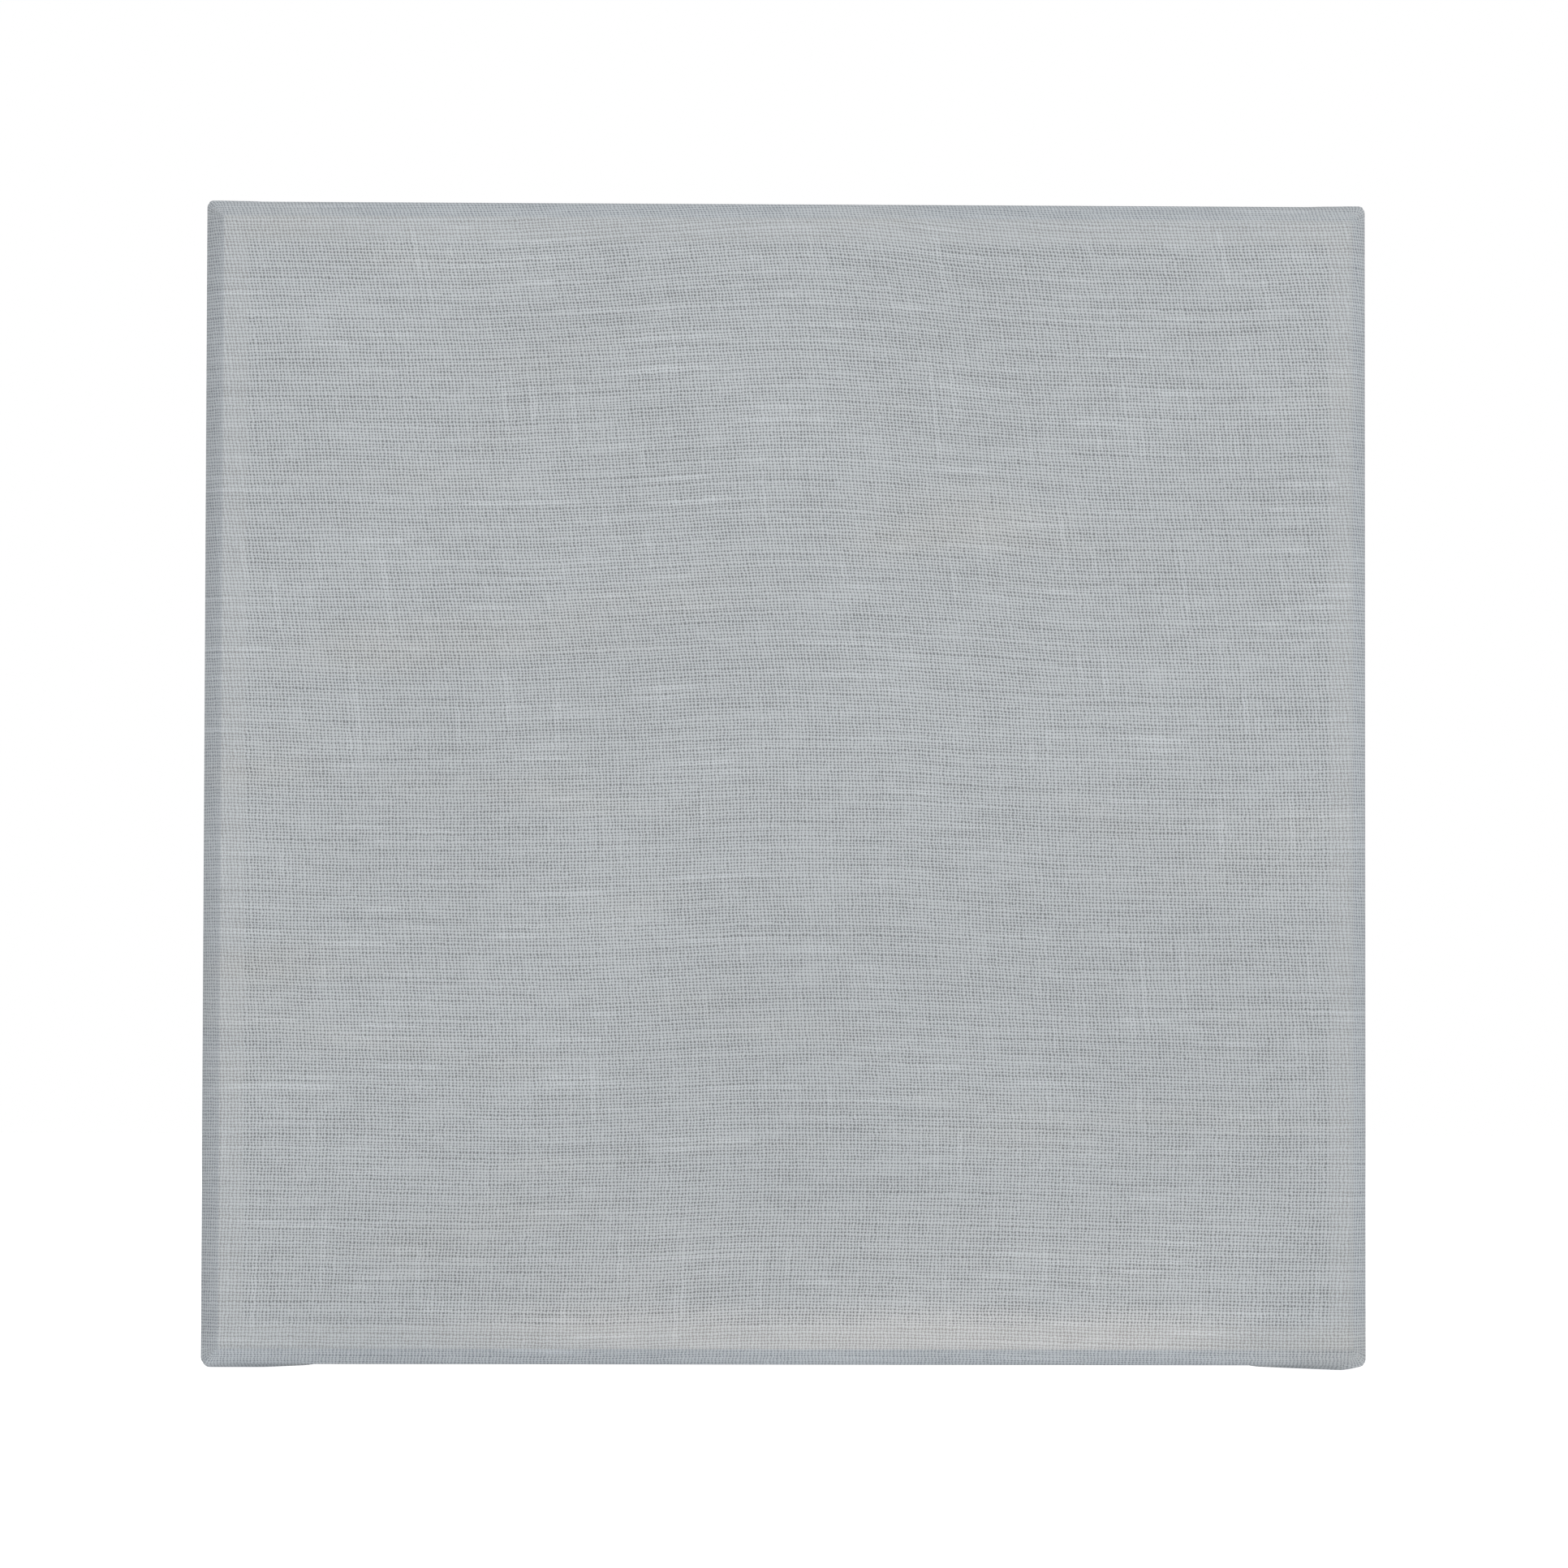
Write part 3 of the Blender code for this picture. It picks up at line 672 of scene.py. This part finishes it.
def thread_material():
    """Loose thread ends: the cloth's light thread with fibres along and across it."""
    material, g, shader = new_material("loose thread")
    place = g.node("ShaderNodeTexCoord").outputs["Object"]
    fibre = g.noise(g.vector("MULTIPLY", place, (3500.0, 3500.0, 3500.0)), 1.0, 2.0)
    # The fibres take the cloth's shaded and lit thread tones
    g.feed(shader.inputs["Base Color"], g.mix(fibre, THREAD_SHADED, THREAD_LIT))
    shader.inputs["Roughness"].default_value = 0.9
    shader.inputs["Specular IOR Level"].default_value = 0.25
    bump(g, shader, fibre, 0.05 * MM, 0.5)
    return material


def wood_material(name, grain, along, colours, ring_width, pith, knots):
    """Planed or sawn wood whose grain runs along the given axis."""
    light, dark = colours
    material, g, shader = new_material(name)
    place = g.node("ShaderNodeTexCoord").outputs["Object"]
    x, y, z = g.parts(place)
    turned = place if along == "X" else g.join(z, y, x)
    wood = g.group(grain, Position=turned, Pith=pith, Ring_Width=ring_width, Knots=knots)
    colour = g.mix(g.math("MULTIPLY", wood["Late Wood"], 0.62), light, dark)
    shade = g.ramp(wood["Fibre"], 0.25, 0.75, 0.88, 1.08)
    colour = g.mix(1.0, colour, g.join(shade, shade, shade), "MULTIPLY")
    patch = g.ramp(wood["Patch"], 0.3, 0.7, 0.90, 1.06)
    colour = g.mix(1.0, colour, g.join(patch, patch, patch), "MULTIPLY")
    knot_colour = tuple(0.38 * value for value in dark[:3]) + (1,)
    colour = g.mix(wood["Knot"], colour, knot_colour)
    g.feed(shader.inputs["Base Color"], colour)
    g.feed(shader.inputs["Roughness"], g.ramp(wood["Late Wood"], 0.0, 1.0, 0.68, 0.5))
    shader.inputs["Specular IOR Level"].default_value = 0.35
    ridge = g.math("MULTIPLY", wood["Late Wood"], 0.5)
    height = g.math("ADD", g.math("MULTIPLY", wood["Fibre"], 0.6), ridge)
    bump(g, shader, height, 0.08 * MM, 0.8)
    return material


def steel_material():
    """Galvanised staple wire: drawn streaks, dull spots and a thin tarnish."""
    material, g, shader = new_material("galvanised wire")
    place = g.node("ShaderNodeTexCoord").outputs["Object"]
    drawn = g.noise(g.vector("MULTIPLY", place, (2500.0, 2500.0, 2500.0)), 1.0, 2.0)
    dull = g.noise(g.vector("MULTIPLY", place, (420.0, 420.0, 420.0)), 1.0, 3.0)
    bright, tarnished = (0.66, 0.66, 0.65, 1), (0.42, 0.41, 0.39, 1)
    g.feed(shader.inputs["Base Color"], g.mix(g.ramp(dull, 0.4, 0.7), bright, tarnished))
    g.feed(shader.inputs["Roughness"], g.ramp(drawn, 0.2, 0.8, 0.22, 0.48))
    shader.inputs["Metallic"].default_value = 1.0
    bump(g, shader, drawn, 0.02 * MM, 0.4)
    return material


# ---------------------------------------------------------------- the scene

def area_light(name, place, power):
    """A white disk that faces the middle of the canvas."""
    data = bpy.data.lights.new(name, "AREA")
    data.shape = "DISK"
    data.size = LIGHT_SIZE
    data.energy = power
    obj = bpy.data.objects.new(name, data)
    obj.location = place
    direction = np.array((0, 0, MIDDLE_Z)) - np.array(place)
    yaw = math.atan2(direction[1], direction[0])
    pitch = math.atan2(direction[2], math.hypot(direction[0], direction[1]))
    obj.rotation_euler = (math.pi / 2 + pitch, 0, yaw - math.pi / 2)
    bpy.context.scene.collection.objects.link(obj)


def seen_brighter(graph, seen, lit):
    """The first value for what the camera sees directly, and the second for light on the canvas."""
    camera_ray = graph.node("ShaderNodeLightPath").outputs["Is Camera Ray"]
    return graph.ramp(camera_ray, 0.0, 1.0, lit, seen, smooth=False)


def make_stage():
    """A pale floor under the canvas in a white surround, with soft light from the front and back."""
    world = bpy.data.worlds.new("white surround")
    world.use_nodes = True
    background = world.node_tree.nodes["Background"]
    background.inputs["Color"].default_value = (1, 1, 1, 1)
    graph = Graph(world.node_tree)
    graph.feed(background.inputs["Strength"], seen_brighter(graph, 1.0, SURROUND))
    bpy.context.scene.world = world
    corners = np.array([[-4, -4, 0], [4, -4, 0], [4, 4, 0], [-4, 4, 0]], float)
    floor = new_mesh("floor", corners, np.array([[0, 1, 2, 3]]), smooth=False)
    material, g, shader = new_material("pale floor")
    shader.inputs["Base Color"].default_value = (0.78, 0.78, 0.78, 1)
    shader.inputs["Roughness"].default_value = 1.0
    shader.inputs["Specular IOR Level"].default_value = 0.0
    shader.inputs["Emission Color"].default_value = (1, 1, 1, 1)
    g.feed(shader.inputs["Emission Strength"], seen_brighter(g, FLOOR_GLOW, FLOOR_LIFT))
    floor.data.materials.append(material)
    area_light("right window", (1.00, -1.85, 0.85), 12.2)
    area_light("front fill", (0.0, -2.25, 0.25), 0.8)
    area_light("top light", (0.0, -0.9, 2.0), 20.4)
    area_light("back window", (-1.3, 1.6, 0.9), 14.0)
    area_light("back fill", (1.3, 1.8, 0.6), 7.0)


def make_camera():
    """A long lens a little left of the middle and a little below it, with a slight roll."""
    data = bpy.data.cameras.new("camera")
    data.sensor_width = SENSOR_WIDTH
    azimuth, elevation = math.radians(CAMERA_AZIMUTH), math.radians(CAMERA_ELEVATION)
    data.lens = SENSOR_WIDTH * CAMERA_DISTANCE / VIEW_WIDTH
    data.clip_start = 0.01
    camera = bpy.data.objects.new("camera", data)
    camera.location = (
        CAMERA_DISTANCE * math.sin(azimuth) * math.cos(elevation) + CAMERA_SHIFT_X,
        FRONT_Y - CAMERA_DISTANCE * math.cos(azimuth) * math.cos(elevation),
        MIDDLE_Z + CAMERA_DISTANCE * math.sin(elevation) + CAMERA_SHIFT_Z,
    )
    camera.rotation_euler = (math.pi / 2 - elevation, math.radians(CAMERA_ROLL), azimuth)
    bpy.context.scene.collection.objects.link(camera)
    bpy.context.scene.camera = camera


bpy.context.scene.view_settings.view_transform = "Standard"
make_stage()
make_camera()

weave, backing, grain = weave_group(), backing_group(), grain_group()
cloth_grey = cloth_material("grey canvas cloth", weave, backing)
pine_level = wood_material("pine across", grain, "X", PINE, 2.3 * MM, (0, 0.045, -0.04), 1.0)
pine_upright = wood_material("pine upright", grain, "Z", PINE, 2.0 * MM, (0, 0.05, 0.16), 1.0)
beech_level = wood_material("beech across", grain, "X", BEECH, 1.1 * MM, (0, 0.03, -0.02), 0.0)
beech_upright = wood_material("beech upright", grain, "Z", BEECH, 1.2 * MM, (0, 0.03, 0.2), 0.0)
wire = steel_material()

canvas, flat_area, flat_side = make_canvas()
thickness = canvas.modifiers.new("cloth", "SOLIDIFY")
thickness.thickness = CLOTH
thickness.offset = 0
canvas.data.materials.append(cloth_grey)
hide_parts("canvas")
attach(canvas, "frame")
fray = make_fray()
fray.data.materials.append(thread_material())
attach(fray, "frame")

for name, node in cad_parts.items():
    if name == "canvas":
        continue
    if name in ("bottom_bar", "top_bar"):
        finish = pine_level
    elif name in ("left_bar", "right_bar"):
        finish = pine_upright
    elif name.endswith("horizontal"):
        finish = beech_level
    elif name.endswith("vertical"):
        finish = beech_upright
    else:
        finish = wire
    for material_slot in node.material_slots:
        material_slot.material = finish
